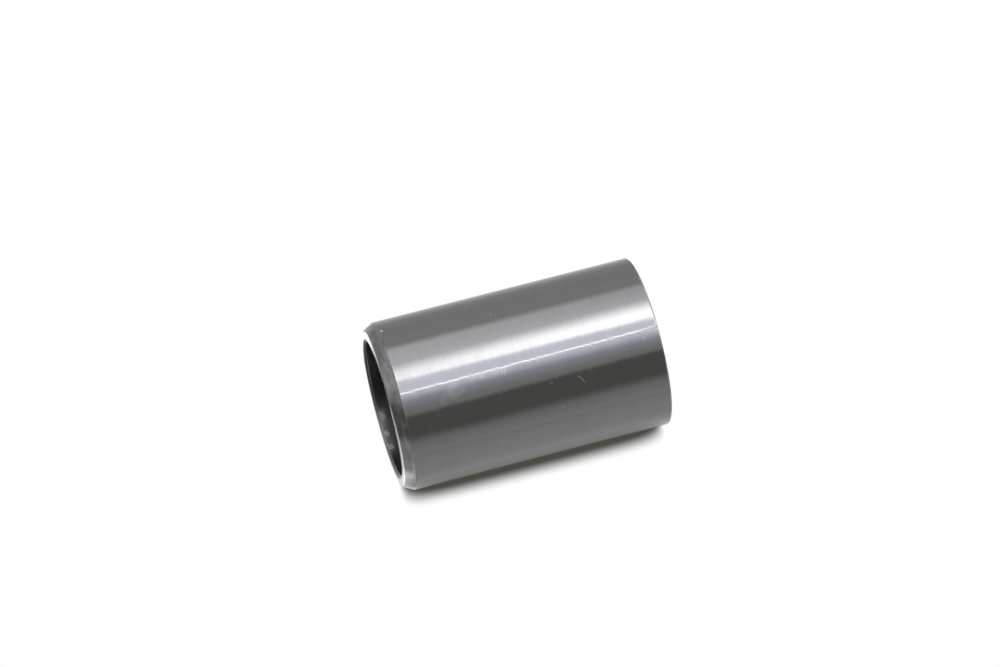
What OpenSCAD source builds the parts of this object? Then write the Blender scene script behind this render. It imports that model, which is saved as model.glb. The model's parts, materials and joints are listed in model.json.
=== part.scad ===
// Bearing sleeve: one turned steel tube, ground outside, with a lead-in taper at one end.
// It stands on its lead-in end at z = 0, with the axis of the bore along +Z. Sizes are in millimetres.

/* [Sleeve] */
// Diameter of the bore, which slides onto a shaft
bore_d = 20; // [6:0.5:80]
// Thickness of the wall between the bore and the ground outside
wall_t = 2.5; // [1.8:0.1:10]
// Overall length, from end face to end face
sleeve_l = 40; // [6:0.5:160]

/* [Lead-in end] */
// Length of the outside taper that guides the sleeve into a bearing
lead_in_l = 1.6; // [0.5:0.1:3]
// Angle between that taper and the axis, in degrees
lead_in_angle = 30; // [10:1:45]
// Radius that blends the taper into the end face
nose_r = 0.4; // [0.1:0.05:1.5]

/* [Edges] */
// Depth of the chamfer at each mouth of the bore, measured across the wall
mouth_chamfer = 0.5; // [0.1:0.05:1.2]
// Angle between that chamfer and the axis, in degrees
mouth_angle = 60; // [30:1:75]
// Chamfer on the outside edge of the plain end, at 45 degrees
edge_break = 0.2; // [0.1:0.05:1.5]

/* [Hidden] */

steel_grey = [0.38, 0.39, 0.40];
// Sides of every turned surface when the model is drawn as facets
turned_sides = 192;

bore_r = bore_d / 2;
outside_r = bore_r + wall_t;
mouth_r = bore_r + mouth_chamfer;
mouth_l = mouth_chamfer / tan(mouth_angle);

// The nose arc starts square to the axis on the end face and turns until it lies along the taper
nose_turn = 90 - lead_in_angle;
nose_steps = 6;
lead_in_depth = lead_in_l * tan(lead_in_angle);
nose_center_r = outside_r - lead_in_depth - nose_r * tan(nose_turn / 2);

// Points of the blend between the end face and the taper, as [radius, height]
function nose_arc() = [
    for (i = [0 : nose_steps])
        let (turn = nose_turn * i / nose_steps)
        [nose_center_r + nose_r * sin(turn), nose_r * (1 - cos(turn))]
];

// Half of the wall's section: up the outside from the nose, over the plain end and down the bore
function wall_section() = concat(
    nose_arc(),
    [
        [outside_r, lead_in_l],
        [outside_r, sleeve_l - edge_break],
        [outside_r - edge_break, sleeve_l],
        [mouth_r, sleeve_l],
        [bore_r, sleeve_l - mouth_l],
        [bore_r, mouth_l],
        [mouth_r, 0]
    ]
);

module sleeve() {
    color(steel_grey)
        rotate_extrude($fn = turned_sides)
            polygon(wall_section());
}

sleeve();
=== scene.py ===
"""Bearing sleeve: one turned steel tube, ground outside, with a lead-in taper at one end.

The sleeve stands on its lead-in end in the part's frame. In the picture it lies on its side, so the
picture's table is an upright plane here, and the picture's camera is turned with it. The steel mirrors a
card on that plane, painted with shade and glows, which the camera doesn't see. A narrow second card shows
painted shade beside the sleeve.
"""
import json
import math

import bpy
from mathutils import Matrix, Vector


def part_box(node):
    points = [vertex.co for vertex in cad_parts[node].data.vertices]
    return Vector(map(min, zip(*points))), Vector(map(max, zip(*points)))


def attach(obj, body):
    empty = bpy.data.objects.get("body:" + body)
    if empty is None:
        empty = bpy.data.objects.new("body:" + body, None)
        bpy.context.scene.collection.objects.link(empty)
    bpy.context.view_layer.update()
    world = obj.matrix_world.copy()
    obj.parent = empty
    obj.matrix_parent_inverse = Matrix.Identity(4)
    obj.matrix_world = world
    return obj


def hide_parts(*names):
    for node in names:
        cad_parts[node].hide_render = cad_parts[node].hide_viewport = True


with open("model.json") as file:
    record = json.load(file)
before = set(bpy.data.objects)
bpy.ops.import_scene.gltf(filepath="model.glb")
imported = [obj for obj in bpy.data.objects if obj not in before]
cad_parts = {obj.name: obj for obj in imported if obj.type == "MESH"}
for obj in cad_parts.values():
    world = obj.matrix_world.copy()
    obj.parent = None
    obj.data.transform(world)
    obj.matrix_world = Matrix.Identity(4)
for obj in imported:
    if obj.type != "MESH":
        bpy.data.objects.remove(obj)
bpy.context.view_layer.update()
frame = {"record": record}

MM = 0.001
DEGREES = 180 / math.pi
WHITE = (1.0, 1.0, 1.0)
WHITE_PAINT = (*WHITE, 1)


# Sizes of the sleeve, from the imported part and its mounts

box_low, box_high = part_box("sleeve")
mounts = {mount["name"]: mount["dims"] for mount in frame["record"]["mounts"]}
LENGTH = box_high.z - box_low.z
OUTSIDE_R = (box_high.x - box_low.x) / 2
LENGTH_IN_RADII = LENGTH / OUTSIDE_R
BORE_R = mounts["bore"]["r_mm"] * MM
MOUTH_L = (LENGTH - mounts["bore"]["length_mm"] * MM) / 2
MOUTH_ANGLE = math.radians(60)
MOUTH_R = BORE_R + MOUTH_L * math.tan(MOUTH_ANGLE)
LEAD_IN_L = 1.6 * MM
LEAD_IN_ANGLE = math.radians(30)
NOSE_R = 0.4 * MM
EDGE_BREAK = LENGTH - LEAD_IN_L - mounts["running_face"]["length_mm"] * MM

# Where the picture has the sleeve, in its own 1000 x 667 pixels

PICTURE_W = 1000
PICTURE_H = 667
FOCAL_PX = 4000
LEAD_IN_END_PX = (382.0, 408.5)
OUTSIDE_R_PX = 86.46
AXIS_CLIMBS = math.radians(14.36)
AXIS_TURNS_AWAY = math.radians(7.71)
SENSOR_W = 36.0
CLIP_START = 0.01
CLIP_END = 5

# Directions of the picture's table in the part's frame: up from the table, and towards its front edge

TABLE_UP_AZIMUTH = math.radians(98)
AXIS = Vector((0, 0, 1))
TABLE_UP = Vector((math.sin(TABLE_UP_AZIMUTH), -math.cos(TABLE_UP_AZIMUTH), 0))
TABLE_FRONT = AXIS.cross(TABLE_UP)


def on_wall(turn, radius, height):
    """A point of the sleeve. Its turn is in degrees, from straight up off the table towards the back."""
    angle = math.radians(turn)
    across = TABLE_UP * math.cos(angle) - TABLE_FRONT * math.sin(angle)
    return across * radius + AXIS * height


# Camera

def make_camera():
    """The camera of the picture, from where the lead-in end and the axis fall in it."""
    axis_seen = Vector((
        math.cos(AXIS_TURNS_AWAY) * math.cos(AXIS_CLIMBS),
        math.cos(AXIS_TURNS_AWAY) * math.sin(AXIS_CLIMBS),
        -math.sin(AXIS_TURNS_AWAY),
    ))
    up_seen = Vector((0, -axis_seen.z, axis_seen.y)).normalized()
    front_seen = axis_seen.cross(up_seen)
    seen = Matrix((axis_seen, up_seen, front_seen)).transposed()
    turn = Matrix((AXIS, TABLE_UP, TABLE_FRONT)).transposed() @ seen.transposed()

    per_px = OUTSIDE_R / OUTSIDE_R_PX
    end_seen = Vector((
        LEAD_IN_END_PX[0] - (PICTURE_W - 1) / 2,
        (PICTURE_H - 1) / 2 - LEAD_IN_END_PX[1],
        -FOCAL_PX,
    )) * per_px

    data = bpy.data.cameras.new("picture_camera")
    data.sensor_width = SENSOR_W
    data.lens = FOCAL_PX / PICTURE_W * SENSOR_W
    data.clip_start = CLIP_START
    data.clip_end = CLIP_END
    camera = bpy.data.objects.new("picture_camera", data)
    camera.matrix_world = Matrix.Translation(-(turn @ end_seen)) @ turn.to_4x4()
    bpy.context.scene.collection.objects.link(camera)
    bpy.context.scene.camera = camera


# Shader maths

class Value:
    """A shader's number: an expression on values adds its Math nodes."""

    def __init__(self, nodes, socket):
        self.nodes = nodes
        self.socket = socket

    def maths(self, operation, *numbers, clamp=False):
        return self.nodes.add(
            "ShaderNodeMath",
            {"operation": operation, "use_clamp": clamp},
            dict(enumerate(numbers)),
        )

    def __add__(self, other):
        return self.maths("ADD", self, other)

    def __radd__(self, other):
        return self.maths("ADD", other, self)

    def __sub__(self, other):
        return self.maths("SUBTRACT", self, other)

    def __rsub__(self, other):
        return self.maths("SUBTRACT", other, self)

    def __mul__(self, other):
        return self.maths("MULTIPLY", self, other)

    def __rmul__(self, other):
        return self.maths("MULTIPLY", other, self)

    def __truediv__(self, other):
        return self.maths("DIVIDE", self, other)

    def __rtruediv__(self, other):
        return self.maths("DIVIDE", other, self)

    def root(self):
        return self.maths("SQRT", self)

    def at_most_one(self):
        return self.maths("ADD", self, 0.0, clamp=True)

    def arctan2(self, other):
        return self.maths("ARCTAN2", self, other)

    def arcsin(self):
        return self.maths("ARCSINE", self)

    def more(self, other):
        return self.maths("MAXIMUM", self, other)

    def rise(self, start, end, smooth=True):
        """0 up to start, 1 from end on. With start past end it falls instead."""
        kind = "SMOOTHSTEP" if smooth else "LINEAR"
        return self.nodes.add(
            "ShaderNodeMapRange",
            {"interpolation_type": kind},
            {"Value": self, "From Min": start, "From Max": end},
        )

    def band(self, start, full, falls, end):
        """0 up to start, 1 from full until it falls, and 0 again from end on."""
        return self.rise(start, full) * self.rise(end, falls)


class Nodes:
    """The node tree of a material or of the world."""

    def __init__(self, owner):
        owner.use_nodes = True
        self.tree = owner.node_tree
        self.tree.nodes.clear()

    def add(self, kind, settings=None, sockets=None, out=0):
        """Adds a node: its settings, then its sockets' values or links. Gives the output asked for."""
        node = self.tree.nodes.new(kind)
        for name, setting in (settings or {}).items():
            setattr(node, name, setting)
        for name, content in (sockets or {}).items():
            if isinstance(content, Value):
                self.tree.links.new(content.socket, node.inputs[name])
            else:
                node.inputs[name].default_value = content
        outputs = node.outputs
        return Value(self, outputs[out]) if outputs else node

    def vector(self, operation, *vectors, out=0):
        settings = {"operation": operation}
        return self.add("ShaderNodeVectorMath", settings, dict(enumerate(vectors)), out)

    def along(self, place, direction):
        return self.vector("DOT_PRODUCT", place, tuple(direction), out="Value")

    def mix(self, factor, first, second):
        """A colour between two: the first at 0 and the second at 1."""
        return self.add(
            "ShaderNodeMix",
            {"data_type": "RGBA"},
            {"Factor": factor, 6: first, 7: second},
            out=2,
        )

    def tint(self, strength, colour):
        """A colour made as strong as a value says."""
        even = self.add("ShaderNodeCombineXYZ", None, {0: strength, 1: strength, 2: strength})
        return self.vector("MULTIPLY", even, tuple(colour))

    def streak(self, place, start, end, width):
        """1 on the line between two points, falling to 0 at this distance from it."""
        reach = end - start
        way = reach / reach.length_squared
        share = (self.along(place, way) - start.dot(way)).at_most_one()
        nearest = self.vector("ADD", self.tint(share, reach), tuple(start))
        gap = self.vector("DISTANCE", place, nearest, out="Value")
        return gap.rise(width, 0)

    def noise(self, place, stretch, detail=2.0, shift=0.0):
        """Noise with this many waves to the metre along each of the three directions."""
        stretched = self.vector("MULTIPLY_ADD", place, tuple(stretch), (shift, shift, shift))
        return self.add(
            "ShaderNodeTexNoise",
            None,
            {"Vector": stretched, "Scale": 1.0, "Detail": detail},
        )


# Light: a white tent, with lamps and a dark card that run along the sleeve's axis.
# Turns about the axis are in degrees, from straight up off the table towards the back.

TENT_LEVEL = 0.95

# Where each part of the tent starts, is full, begins to fall and ends
CEILING_TURNS = (-4, 4, 47, 60)
WINDOW_TURNS = (-28, -12, -2, 4)
TUBE_TURNS = (-14.1, -13.1, -12.9, -11.9)
SILL_TURNS = (-38, -26, -26, -14)
SIDE_LAMP_TURNS = (94, 102, 155, 175)
SIDE_LAMP_RISES = (-56, -44, -33, -25)
TOP_LAMP_TURNS = (-10, 50, 145, 175)
DIM_TURNS = (-108, -84, -48, -20)

# Where each slow change starts and ends, as rises of a ray above the floor or as turns
LEAN_RISES = (4, 12)
REACH_RISES = (-38, -28)
BRIGHTER_RISES = (-2, 3)
TOP_LAMP_RISES = (25, 50)
UNDER_RISES = (-62, -80)
BACK_TURNS = (68, 112)
CARD_STARTS = (-88, -72)
CARD_ENDS = (-40.5, -47.5)
# How many degrees sooner the dark card starts for rays that go steeply down, and how many later it ends
CARD_STARTS_SOONER = 9
CARD_ENDS_LATER = 27
# Turns over which the ceiling comes nearer, over which the main lamp opens, and its long flank
CEILING_NEARER = (46, 27)
LAMP_OPENS = (-0.5, 5.5)
FLANK_START = 9
FLANK_WIDTH = 19

CEILING_LEVEL = 1.29
LAMP_LEVEL = 1.6
WINDOW_LEVEL = 2.1
TUBE_LEVEL = 5
SILL_LEVEL = 0.28
SIDE_LAMP_LEVEL = 2.4
TOP_LAMP_LEVEL = 1.6

# What is left of the lamps below the floor's level, and what the tent's dim parts keep off
LOW_LAMPS_SHARE = 0.65
DIM_SHARE = 0.21
BACK_SHARE = 0.27
UNDER_SHARE = 0.4

CEILING_COLOUR = (1.0, 0.985, 1.05)
LAMP_COLOUR = (1.0, 0.995, 1.005)
WINDOW_COLOUR = (0.95, 1.0, 1.14)
TUBE_COLOUR = (0.96, 1.0, 1.05)
SILL_COLOUR = (0.7, 1.0, 1.35)
DARK_CARD = (0.437, 0.44, 0.40, 1)


def lamp_light(nodes, turn, rise, climbs, lean, reaching):
    """The white tent and its lamps. The main lamp widens as rays climb, and low down most lamps end."""
    lit = reaching * (LOW_LAMPS_SHARE + rise.rise(*BRIGHTER_RISES) * (1 - LOW_LAMPS_SHARE))
    nearer = 1 + turn.rise(*CEILING_NEARER) * (0.05 + climbs * 0.5)
    ceiling = turn.band(*CEILING_TURNS) * (CEILING_LEVEL - climbs * 0.6)
    ceiling = ceiling * nearer * (0.2 + reaching * 0.8)
    widens = climbs * (2 - climbs)
    flank = (turn - FLANK_START) / (0.9 + widens * 0.35)
    lamp = (turn + widens * 2 - 1).rise(*LAMP_OPENS) * flank.rise(FLANK_WIDTH, 0)
    lamp = lamp * (LAMP_LEVEL + widens * 2.9) * lit
    window = turn.band(*WINDOW_TURNS) * WINDOW_LEVEL * lit
    tube = (turn - lean).band(*TUBE_TURNS) * TUBE_LEVEL * lit
    sill = turn.band(*SILL_TURNS) * SILL_LEVEL * reaching
    side_lamp = turn.band(*SIDE_LAMP_TURNS) * rise.band(*SIDE_LAMP_RISES) * SIDE_LAMP_LEVEL
    top_lamp = rise.rise(*TOP_LAMP_RISES) * turn.band(*TOP_LAMP_TURNS) * TOP_LAMP_LEVEL
    light = nodes.tint(TENT_LEVEL + side_lamp + top_lamp, WHITE)
    for strength, colour in (
        (ceiling, CEILING_COLOUR),
        (lamp, LAMP_COLOUR),
        (window, WINDOW_COLOUR),
        (tube, TUBE_COLOUR),
        (sill, SILL_COLOUR),
    ):
        light = nodes.vector("ADD", light, nodes.tint(strength, colour))
    return light


def dimmed(nodes, light, turn, rise, lean, reaching):
    """The light, less what a dark card in front, the tent's back and its underside keep off."""
    low_down = 1 - reaching
    card_starts = (turn + low_down * CARD_STARTS_SOONER).rise(*CARD_STARTS)
    card_goes_on = (turn - lean - low_down * CARD_ENDS_LATER).rise(*CARD_ENDS)
    card = nodes.mix(card_starts * card_goes_on, WHITE_PAINT, DARK_CARD)
    dim = 1 - turn.band(*DIM_TURNS) * DIM_SHARE
    back = 1 - turn.rise(*BACK_TURNS, smooth=False) * BACK_SHARE
    under = 1 - rise.rise(*UNDER_RISES) * UNDER_SHARE
    light = nodes.vector("MULTIPLY", light, card)
    return nodes.vector("MULTIPLY", light, nodes.tint(dim * back * under, WHITE))


def make_world():
    """The tent as it lights the steel, and white to the camera. Rise is a ray's angle above the floor."""
    world = bpy.data.worlds.new("light_tent")
    bpy.context.scene.world = world
    nodes = Nodes(world)
    ray = nodes.add("ShaderNodeTexCoord", out="Generated")
    turn = nodes.along(ray, -TABLE_FRONT).arctan2(nodes.along(ray, TABLE_UP)) * DEGREES
    rise = nodes.along(ray, AXIS).arcsin() * DEGREES
    climbs = rise.rise(*LEAN_RISES, smooth=False)
    # Degrees by which the tube and an edge of the dark card lean over as rays climb
    lean = climbs * (8 - climbs * 1.8) - 3.2
    reaching = rise.rise(*REACH_RISES)
    light = lamp_light(nodes, turn, rise, climbs, lean, reaching)
    light = dimmed(nodes, light, turn, rise, lean, reaching)

    seen = nodes.add("ShaderNodeLightPath", out="Is Camera Ray")
    shown = nodes.mix(seen, light, WHITE_PAINT)
    background = nodes.add("ShaderNodeBackground", None, {"Color": shown})
    nodes.add("ShaderNodeOutputWorld", None, {"Surface": background})


# Stage: the picture's table beside the sleeve, and the floor that it stands on in the part's frame.
# Spots on both are in radii of the sleeve.

STAGE_GAP = 0.02 * MM
STAGE_REACH = 7.2
SPOTS = "spots"

# The strip of the table that shows the painted shade: its colour, edges and ends, and where its far end
# folds
SHADE = (0.072, 0.070, 0.061, 1)
SHADE_INNER = 0.4
SHADE_OUTER = 1.1
SHADE_START = -0.5
SHADE_END = LENGTH_IN_RADII + 0.15
FOLD = LENGTH_IN_RADII - 0.2
FOLD_INNER = 0.621

# How the shade ends, shown and mirrored: its slant away from the sleeve, its shift and its softness
SHOWN_NEAR_END = (0.31, -0.05, 0.02)
SHOWN_FAR_END = (0.2, 0.04, 0.012)
MIRRORED_NEAR_END = (0, -0.08, 0.031)
MIRRORED_FAR_END = (0, 0.1, 0.031)
SHOWN_OPENS = (0.315, 0.454)
MIRRORED_OPENS = (0.34, 0.7)

# The level of the mirrored table, and its changes towards the front: start, end and amount
TABLE_LEVEL = 0.7
TABLE_CHANGES = [(-4.5, -1.5, 0.1), (-1.2, 0.64, 0.17), (2.8, 7.2, -0.13)]

# Painted glows and darker patches on the mirrored table: where each starts, is full, begins to fall and
# ends
BACK_GLOW_ACROSS = (-4.4, -3.3, -1.5, -1.2)
FOOT_ACROSS = (-0.2, 0, 0.28, 0.4)
FOOT_ALONG = (-0.8, -0.45, -0.12, -0.04)
STRIP_ACROSS = (-1.3, -1.15, -0.6, -0.4)
STRIP_ALONG = (-4, -1.5, -0.06, 0)
FRONT_GLOW_LEVEL = 2.6
BACK_GLOW_LEVEL = 2.2
STRIP_DARKENS = 0.75
FOOT_DARKENS = 0.5

# Rings on the floor round the sleeve: where the steel mirrors it, and where painted shade darkens it
# inside the bore
MIRRORED_RING = (1.2, 1.26, 2, 3.2)
BORE_SHADE = (0.86, 0.8)
BORE_DARKENS = 0.7
# Painted shade round the standing sleeve: where it opens into full light, and its darkest level
FLOOR_OPENS = (0.45, 0.93)
FLOOR_DARKEST = 0.3


def beside(distance, away, slant, shift, softness):
    """1 well inside an end of the sleeve, falling to -1 well past it."""
    inside = distance + away * slant + shift
    return inside / (inside * inside + softness).root()


def open_share(height, away, near_end, far_end):
    """How much of the light reaches the table. Away is the squared distance in front of the axis."""
    near = beside(height, away, *near_end)
    far = beside(LENGTH_IN_RADII - height, away, *far_end)
    return 1 - (near + far) * 0.5 / (away + 1)


def table_shade(nodes, front, height):
    """The painted shade that the lying sleeve casts along its front."""
    lit = open_share(height, front * front, SHOWN_NEAR_END, SHOWN_FAR_END).rise(*SHOWN_OPENS)
    return SHADE, 1 - lit


def table_light(nodes, front, height):
    """The table as the steel mirrors it: painted shade along the sleeve and just past its lead-in end,
    painted glows and a darker strip beside that end, and painted light where the sleeve hides the table.
    """
    lit = open_share(height, front * front, MIRRORED_NEAR_END, MIRRORED_FAR_END)
    # Where the sleeve hides the table, painted light takes the place of the painted shade
    under = front.rise(0.5, 0.3) * height.rise(0.05, 0.3)
    lit = lit.rise(*MIRRORED_OPENS, smooth=False).more(under)

    plain = TABLE_LEVEL
    for start, end, change in TABLE_CHANGES:
        plain = front.rise(start, end) * change + plain
    beyond = height + (front - 0.5).more(0) * 0.2
    front_glow = front.rise(0.15, 0.8) * (front + height * 0.4).rise(1.6, 1.2) * beyond.rise(0.02, -0.4)
    behind = height + (-1.6 - front).more(0) * 0.6
    back_glow = front.band(*BACK_GLOW_ACROSS) * behind.rise(0.02, -0.3) * height.rise(-4.4, -2.8)
    # Painted shade of the sleeve on the table just past its lead-in end, and a darker strip behind the
    # contact line there
    foot_shade = front.band(*FOOT_ACROSS) * height.band(*FOOT_ALONG)
    strip = front.band(*STRIP_ACROSS) * height.band(*STRIP_ALONG)
    level = plain + front_glow * FRONT_GLOW_LEVEL + back_glow * BACK_GLOW_LEVEL
    level = level * (1 - strip * STRIP_DARKENS) * (1 - foot_shade * FOOT_DARKENS)
    shaded = nodes.mix(lit, SHADE, WHITE_PAINT)
    return nodes.vector("MULTIPLY", shaded, nodes.tint(level, WHITE)), 1.0


def floor_light(nodes, front, up):
    """The floor, with painted shade round the standing sleeve and inside its bore."""
    away = (front * front + up * up).root()
    gap = away - 1
    slant = (gap * gap + LENGTH_IN_RADII * LENGTH_IN_RADII).root()
    hidden = (1 - gap / slant) * 0.5 / away.more(1)
    lit = FLOOR_DARKEST + (1 - hidden).rise(*FLOOR_OPENS) * (1 - FLOOR_DARKEST)
    level = lit * (1 - away.rise(*BORE_SHADE) * BORE_DARKENS)
    seen = nodes.add("ShaderNodeLightPath", out="Is Camera Ray")
    return nodes.tint(level, WHITE), seen.more(away.band(*MIRRORED_RING))


def card_material(name, paint):
    """Paint gives the colour and the share that shows. The back of the card shows nothing."""
    material = bpy.data.materials.new(name)
    nodes = Nodes(material)
    spot = nodes.add("ShaderNodeUVMap", {"uv_map": SPOTS})
    colour, share = paint(nodes, nodes.along(spot, (1, 0, 0)), nodes.along(spot, (0, 1, 0)))
    shining = nodes.add("ShaderNodeEmission", None, {"Color": colour})
    unseen = nodes.add("ShaderNodeBsdfTransparent")
    behind = nodes.add("ShaderNodeNewGeometry", out="Backfacing")
    surface = nodes.add("ShaderNodeMixShader", None, {0: (1 - behind) * share, 1: unseen, 2: shining})
    nodes.add("ShaderNodeOutputMaterial", None, {"Surface": surface})
    return material


def make_card(name, spots, place_of, facing, paint, seen, mirrored):
    """A card that shows on one side: to the camera where it is seen, in the steel where it is mirrored.

    Its corners are spots, and place_of gives their places.
    """
    corners = [place_of(*spot) for spot in spots]
    if (corners[1] - corners[0]).cross(corners[2] - corners[1]).dot(facing) < 0:
        corners.reverse()
        spots.reverse()
    mesh = bpy.data.meshes.new(name)
    mesh.from_pydata(corners, [], [(0, 1, 2, 3)])
    numbers = [number for spot in spots for number in spot]
    mesh.uv_layers.new(name=SPOTS).data.foreach_set("uv", numbers)
    mesh.materials.append(card_material(name, paint))
    card = bpy.data.objects.new(name, mesh)
    card.visible_camera = seen
    card.visible_glossy = mirrored
    card.visible_shadow = False
    card.visible_diffuse = False
    card.visible_transmission = False
    bpy.context.scene.collection.objects.link(card)


def make_stages():
    """The table, its painted shade and the floor.

    The shade's far end is folded towards the picture's camera and faces down. The picture shows it as if
    it lay on the table, and from above nothing of it shows over the rim.
    """
    eye = bpy.context.scene.camera.matrix_world.translation

    def on_floor(front, up):
        return (TABLE_FRONT * front + TABLE_UP * up) * OUTSIDE_R - AXIS * STAGE_GAP

    def on_table(front, height):
        spot = TABLE_FRONT * front + AXIS * height - TABLE_UP
        return spot * OUTSIDE_R - TABLE_UP * STAGE_GAP

    def on_fold(front, height):
        place = on_table(front, height)
        return place.lerp(eye, (height - FOLD) * OUTSIDE_R / (place.z - eye.z))

    def oblong(left, right, low, high):
        return [(left, low), (right, low), (right, high), (left, high)]

    middle = LENGTH_IN_RADII / 2
    table = oblong(-STAGE_REACH, STAGE_REACH, middle - STAGE_REACH, middle + STAGE_REACH)
    strip = oblong(SHADE_INNER, SHADE_OUTER, SHADE_START, FOLD)
    strip_end = oblong(FOLD_INNER, SHADE_OUTER, FOLD, SHADE_END)
    floor = oblong(-STAGE_REACH, STAGE_REACH, -STAGE_REACH, STAGE_REACH)
    make_card("table", table, on_table, TABLE_UP, table_light, seen=False, mirrored=True)
    make_card("table_shade", strip, on_table, TABLE_UP, table_shade, seen=True, mirrored=False)
    make_card("shade_end", strip_end, on_fold, -AXIS, table_shade, seen=True, mirrored=False)
    make_card("floor", floor, on_floor, AXIS, floor_light, seen=True, mirrored=True)


# Marks of handling, and pale patches in the bore: each is two points as turn in degrees and height in mm,
# then a width in mm

SCRATCHES = [
    ((-38.3, 27.1), (-43.4, 27.9), 0.26),
    ((-55.6, 23.9), (-56.6, 24.3), 0.14),
    ((-37.6, 22.9), (-38.6, 23.2), 0.14),
    ((-24.1, 37.6), (-25.6, 37.5), 0.11),
    ((-22.4, 16.6), (-23.9, 16.5), 0.13),
    ((-22.4, 17.0), (-24.0, 16.9), 0.13),
    ((21.0, 17.6), (21.3, 17.6), 0.2),
    ((152.0, 11.0), (160.0, 12.2), 0.22),
    ((-131.0, 30.0), (-137.0, 29.2), 0.22),
]
SPECKS = [
    ((33.0, 2.0), (33.5, 2.0), 0.26),
]
WIPES = [
    ((-24.3, 9.5), (-31.5, 7.4), 1.0),
    ((-28.0, 10.4), (-31.2, 8.9), 0.8),
    ((-22.6, 12.1), (-23.4, 16.9), 0.9),
]
BORE_PALE_STREAK = [
    ((155.0, 0.4), (-168.0, 0.4), 1.3),
]
BORE_PALE_SPOTS = [
    ((158.0, 0.4), (159.0, 0.7), 0.7),
    ((173.5, 0.4), (174.5, 0.7), 0.6),
    ((-173.0, 0.4), (-172.0, 0.7), 0.6),
]


def marked(nodes, place, radius, marks):
    """1 on the marks of a wall of this radius."""
    total = 0.0
    for first, last, width in marks:
        start = on_wall(first[0], radius, first[1] * MM)
        end = on_wall(last[0], radius, last[1] * MM)
        total = nodes.streak(place, start, end, width * MM) + total
    return total.at_most_one()


# Finishes

GROUND_DARK = (0.159, 0.159, 0.161, 1)
GROUND_PALE = (0.172, 0.172, 0.174, 1)
WIPED = (0.2, 0.205, 0.203, 1)
SCRATCHED = (0.28, 0.28, 0.275, 1)
SPECKLED = (0.8, 0.8, 0.79, 1)
TURNED_DARK = (0.15, 0.149, 0.148, 1)
TURNED_PALE = (0.18, 0.18, 0.181, 1)
WORN = (0.25, 0.25, 0.247, 1)
DULL = (0.11, 0.108, 0.105, 1)
BORE_DARK = (0.065, 0.064, 0.063, 1)
BORE_PALE = (0.10, 0.099, 0.097, 1)
BORE_TABLE_SIDE_LIGHT = (0.17, 0.165, 0.155, 1)
PALE_PATCH = (0.34, 0.34, 0.33, 1)
BORE_DEEP = (0.3, 0.3, 0.298, 1)

GRINDING_DEPTH = 0.012 * MM
TURNING_DEPTH = 0.004 * MM
HONING_DEPTH = 0.004 * MM


def finish_material(name, nodes_of):
    """A steel: nodes_of gives its colour, roughness, and the height and depth of its marks."""
    material = bpy.data.materials.new(name)
    nodes = Nodes(material)
    place = nodes.add("ShaderNodeTexCoord", out="Object")
    colour, roughness, height, depth = nodes_of(nodes, place)
    normal = nodes.add("ShaderNodeBump", None, {"Strength": 1.0, "Distance": depth, "Height": height})
    shader = nodes.add(
        "ShaderNodeBsdfPrincipled",
        None,
        {"Base Color": colour, "Metallic": 1.0, "Roughness": roughness, "Normal": normal},
    )
    nodes.add("ShaderNodeOutputMaterial", None, {"Surface": shader})
    return material


def ground_steel(nodes, place):
    """The ground outside: faint rings of the wheel, with the scratches and wiped haze of handling."""
    rings = nodes.noise(place, (90, 90, 1500), detail=3.0, shift=3.1)
    grain = nodes.noise(place, (260, 260, 3200), detail=2.0)
    waves = nodes.noise(place, (300, 300, 400), detail=2.0, shift=7.7)
    mottle = nodes.noise(place, (900, 900, 900), detail=3.0, shift=1.3)
    haze = marked(nodes, place, OUTSIDE_R, WIPES) * (0.5 + mottle.rise(0.4, 0.6) * 0.5)
    scratches = marked(nodes, place, OUTSIDE_R, SCRATCHES)
    specks = marked(nodes, place, OUTSIDE_R, SPECKS)
    tone = (rings * 0.4 + grain * 0.3 + mottle * 0.3).rise(0.3, 0.7, smooth=False)
    colour = nodes.mix(tone, GROUND_DARK, GROUND_PALE)
    colour = nodes.mix(haze * 0.8, colour, WIPED)
    colour = nodes.mix(scratches * 0.6, colour, SCRATCHED)
    colour = nodes.mix(specks, colour, SPECKLED)
    wear = rings.rise(0.45, 0.72) * 0.07 + mottle.rise(0.5, 0.8) * 0.04
    roughness = 0.05 + wear + haze * 0.12 + scratches * 0.25 + specks * 0.4
    return colour, roughness, waves + rings * 0.4 + grain * 0.02, GRINDING_DEPTH


def turned_steel(nodes, place):
    """The lead-in end, the end faces and the chamfers: turning marks, scuffed by fitting."""
    turning = nodes.noise(place, (250, 250, 2500), detail=3.0, shift=5.2)
    scuffs = nodes.noise(place, (520, 520, 1300), detail=4.0, shift=9.4)
    less_worn = 1 - nodes.along(place, -TABLE_UP).rise(0, 5 * MM) * 0.7
    worn = scuffs.rise(0.47, 0.62) * less_worn
    dull = scuffs.rise(0.45, 0.34) * less_worn
    colour = nodes.mix(turning.rise(0.3, 0.7), TURNED_DARK, TURNED_PALE)
    colour = nodes.mix(worn * 0.45, colour, WORN)
    colour = nodes.mix(dull * 0.5, colour, DULL)
    roughness = 0.13 + turning * 0.06 + worn * 0.08
    return colour, roughness, turning + scuffs * less_worn * 2, TURNING_DEPTH


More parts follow.
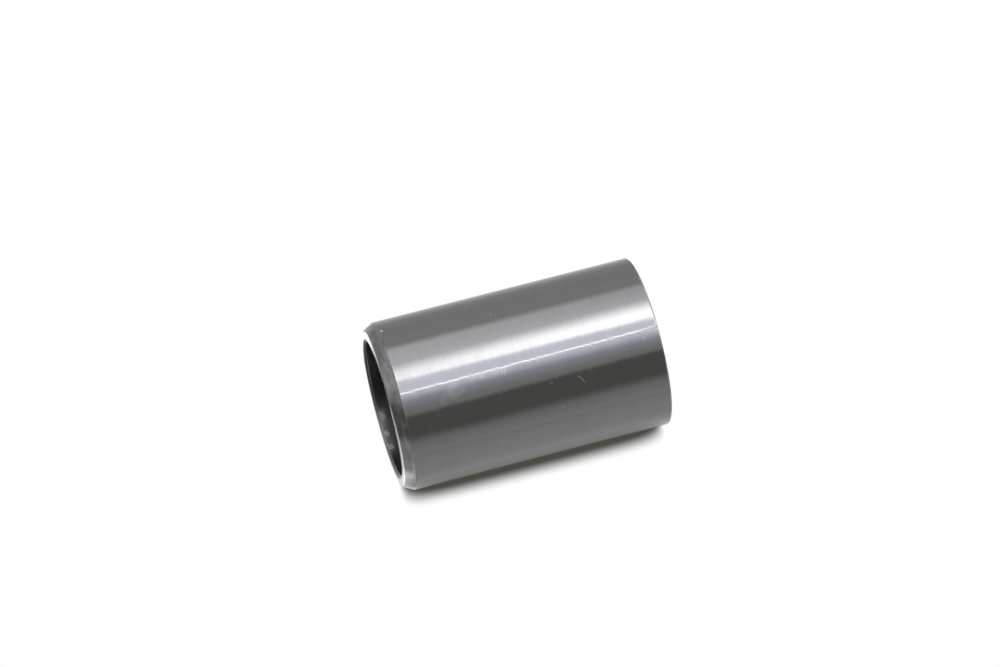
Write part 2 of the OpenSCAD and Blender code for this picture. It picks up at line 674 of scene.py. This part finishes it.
def bore_steel(nodes, place):
    """The bore: honed, with painted shade near the lead-in mouth, painted light on its side towards the
    table, paler deeper in, and pale patches near its mouth.
    """
    honing = nodes.noise(place, (300, 300, 3000), detail=3.0, shift=2.4)
    mottle = nodes.noise(place, (400, 400, 400), detail=2.0)
    patch_mottle = nodes.noise(place, (650, 650, 450), detail=3.0, shift=4.6)
    # Pale patches and a pale mottled streak near the lead-in mouth
    haze = marked(nodes, place, BORE_R, BORE_PALE_STREAK) * (0.25 + patch_mottle.rise(0.45, 0.62) * 0.4)
    pale_patches = (haze + marked(nodes, place, BORE_R, BORE_PALE_SPOTS)).at_most_one()
    tone = (honing * 0.6 + mottle * 0.4).rise(0.3, 0.7, smooth=False)
    deep = nodes.along(place, AXIS).rise(3 * MM, 9 * MM)
    # Painted light: the bore's side towards the table is made paler
    table_side_light = nodes.along(place, -TABLE_UP).rise(6 * MM, 10 * MM)
    # Painted shade: these darker honed tones fill the bore near the lead-in mouth, and the paler deep
    # tone replaces them further in
    colour = nodes.mix(tone, BORE_DARK, BORE_PALE)
    colour = nodes.mix(table_side_light * 0.4, colour, BORE_TABLE_SIDE_LIGHT)
    colour = nodes.mix(pale_patches * 0.7, colour, PALE_PATCH)
    colour = nodes.mix(deep, colour, BORE_DEEP)
    roughness = 0.27 + honing * 0.08 + pale_patches * 0.2 + deep * 0.1
    return colour, roughness, honing, HONING_DEPTH


# The sleeve: its wall section, turned about the axis

GROUND, TURNED, BORE = range(3)
TURN_STEPS = 384
LONGEST_STEP = 2.5 * MM
ARC_STEP = math.radians(9)
FEWEST_ARC_STEPS = 3

# Radii that wear and finishing leave on the edges
OUTSIDE_EDGE = 0.3 * MM
MOUTH_EDGE = 0.1 * MM
BORE_EDGE = 0.05 * MM


def section_corners():
    """Corners of the wall section: radius, height, edge radius, and the finish of the next wall."""
    nose_corner_r = OUTSIDE_R - LEAD_IN_L * math.tan(LEAD_IN_ANGLE)
    return [
        (MOUTH_R, 0.0, MOUTH_EDGE, TURNED),
        (nose_corner_r, 0.0, NOSE_R, TURNED),
        (OUTSIDE_R, LEAD_IN_L, OUTSIDE_EDGE, GROUND),
        (OUTSIDE_R, LENGTH - EDGE_BREAK, OUTSIDE_EDGE, TURNED),
        (OUTSIDE_R - EDGE_BREAK, LENGTH, OUTSIDE_EDGE, TURNED),
        (MOUTH_R, LENGTH, MOUTH_EDGE, TURNED),
        (BORE_R, LENGTH - MOUTH_L, BORE_EDGE, BORE),
        (BORE_R, MOUTH_L, BORE_EDGE, TURNED),
    ]


def bend(points, i):
    """Directions into and out of a corner of the section, and the signed turn between them."""
    arriving = (points[i] - points[i - 1]).normalized()
    leaving = (points[(i + 1) % len(points)] - points[i]).normalized()
    return arriving, leaving, -arriving.angle_signed(leaving)


def wall_section():
    """The section with its corners rounded: rows of place, normal, and the finish up to the next row."""
    corners = section_corners()
    points = [Vector((radius, height)) for radius, height, *_ in corners]
    rows = []
    for i, (*_, edge_r, finish) in enumerate(corners):
        arriving, leaving, turn = bend(points, i)
        out_r = math.copysign(edge_r, turn)
        out_first = Vector((arriving.y, -arriving.x))
        centre = points[i] - arriving * edge_r * math.tan(abs(turn) / 2) - out_first * out_r
        steps = max(FEWEST_ARC_STEPS, math.ceil(abs(turn) / ARC_STEP))
        for step in range(steps + 1):
            normal = Matrix.Rotation(turn * step / steps, 2) @ out_first
            rows.append([centre + normal * out_r, normal, TURNED])
        rows[-1][2] = finish

        following = (i + 1) % len(corners)
        next_turn = abs(bend(points, following)[2])
        next_edge_r = corners[following][2]
        start = rows[-1][0]
        end = points[following] - leaving * next_edge_r * math.tan(next_turn / 2)
        pieces = math.ceil((end - start).length / LONGEST_STEP)
        for piece in range(1, pieces):
            rows.append([start.lerp(end, piece / pieces), rows[-1][1], finish])
    return rows


# Nicks of handling on the rims: turn in degrees, then radius, height, size and depth
NICKS = [
    (-8, MOUTH_R, 0, 0.14 * MM, 0.06 * MM),
    (-44, MOUTH_R, 0, 0.12 * MM, 0.05 * MM),
    (-84, MOUTH_R, 0, 0.14 * MM, 0.05 * MM),
    (-13.3, OUTSIDE_R, LENGTH, 0.12 * MM, 0.08 * MM),
    (-20, OUTSIDE_R, LENGTH, 0.14 * MM, 0.07 * MM),
    (-43.5, OUTSIDE_R, LENGTH, 0.12 * MM, 0.07 * MM),
    (118, OUTSIDE_R, LENGTH, 0.14 * MM, 0.07 * MM),
    (-150, OUTSIDE_R, LENGTH, 0.12 * MM, 0.07 * MM),
]
# How many of its sizes a nick reaches, and how many columns of faces lie on each side of it
NICK_REACH = 4
NICK_COLUMNS = 5


def nicked(place, normal):
    """A point of the wall and its normal, pressed in where a nick lies."""
    pressed = place.copy()
    tilted = normal.copy()
    for turn, radius, height, size, depth in NICKS:
        offset = place - on_wall(turn, radius, height)
        if offset.length < NICK_REACH * size:
            dip = depth * math.exp(-offset.length_squared / (2 * size * size))
            pressed -= normal * dip
            tilted -= (offset - normal * offset.dot(normal)) * (dip / (size * size))
    return pressed, tilted.normalized()


def turns_of_columns():
    """Turns of the columns of faces: even steps, with closer ones beside each nick."""
    turns = {round(360 * step / TURN_STEPS - 180, 3) for step in range(TURN_STEPS)}
    for turn, radius, _, size, _ in NICKS:
        half_size = math.degrees(size / radius) / 2
        for step in range(-NICK_COLUMNS, NICK_COLUMNS + 1):
            turns.add(round(turn + half_size * step, 3))
    return sorted(turns)


def wall_points(rows, turns):
    """Places and normals of the wall, with a column of rows at each turn."""
    places = []
    normals = []
    for turn in turns:
        across = on_wall(turn, 1, 0)
        for place, normal, _ in rows:
            on_row = across * place.x + AXIS * place.y
            out_of_row = across * normal.x + AXIS * normal.y
            pressed, tilted = nicked(on_row, out_of_row)
            places.append(pressed)
            normals.append(tilted)
    return places, normals


def wall_faces(rows, turns):
    """Faces of the wall, the finish of each, and their corners on the flat map."""
    count = len(rows)
    lengths = [0.0]
    for i in range(count):
        lengths.append(lengths[-1] + (rows[(i + 1) % count][0] - rows[i][0]).length)
    next_turns = turns[1:] + [turns[0] + 360]
    faces = []
    finishes = []
    flat = []
    for step, (turn, next_turn) in enumerate(zip(turns, next_turns)):
        this = step * count
        following = (step + 1) % len(turns) * count
        for i, (*_, finish) in enumerate(rows):
            j = (i + 1) % count
            faces.append((this + j, following + j, following + i, this + i))
            finishes.append(finish)
            for turned, row in ((turn, i + 1), (next_turn, i + 1), (next_turn, i), (turn, i)):
                flat.extend(((turned - turns[0]) / 360, lengths[row] / lengths[-1]))
    return faces, finishes, flat


def make_sleeve():
    """The sleeve in its finishes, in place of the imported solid."""
    rows = wall_section()
    turns = turns_of_columns()
    places, normals = wall_points(rows, turns)
    faces, finishes, flat = wall_faces(rows, turns)

    mesh = bpy.data.meshes.new("sleeve_steel")
    mesh.from_pydata(places, [], faces)
    for finish in (ground_steel, turned_steel, bore_steel):
        mesh.materials.append(finish_material(finish.__name__, finish))
    mesh.polygons.foreach_set("material_index", finishes)
    mesh.polygons.foreach_set("use_smooth", [True] * len(faces))
    mesh.uv_layers.new(name="OFBake").data.foreach_set("uv", flat)
    mesh.normals_split_custom_set_from_vertices(normals)
    mesh.update()
    sleeve = bpy.data.objects.new("sleeve_steel", mesh)
    bpy.context.scene.collection.objects.link(sleeve)
    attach(sleeve, "root")
    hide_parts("sleeve")


bpy.context.scene.view_settings.view_transform = "Standard"
make_camera()
make_world()
make_stages()
make_sleeve()
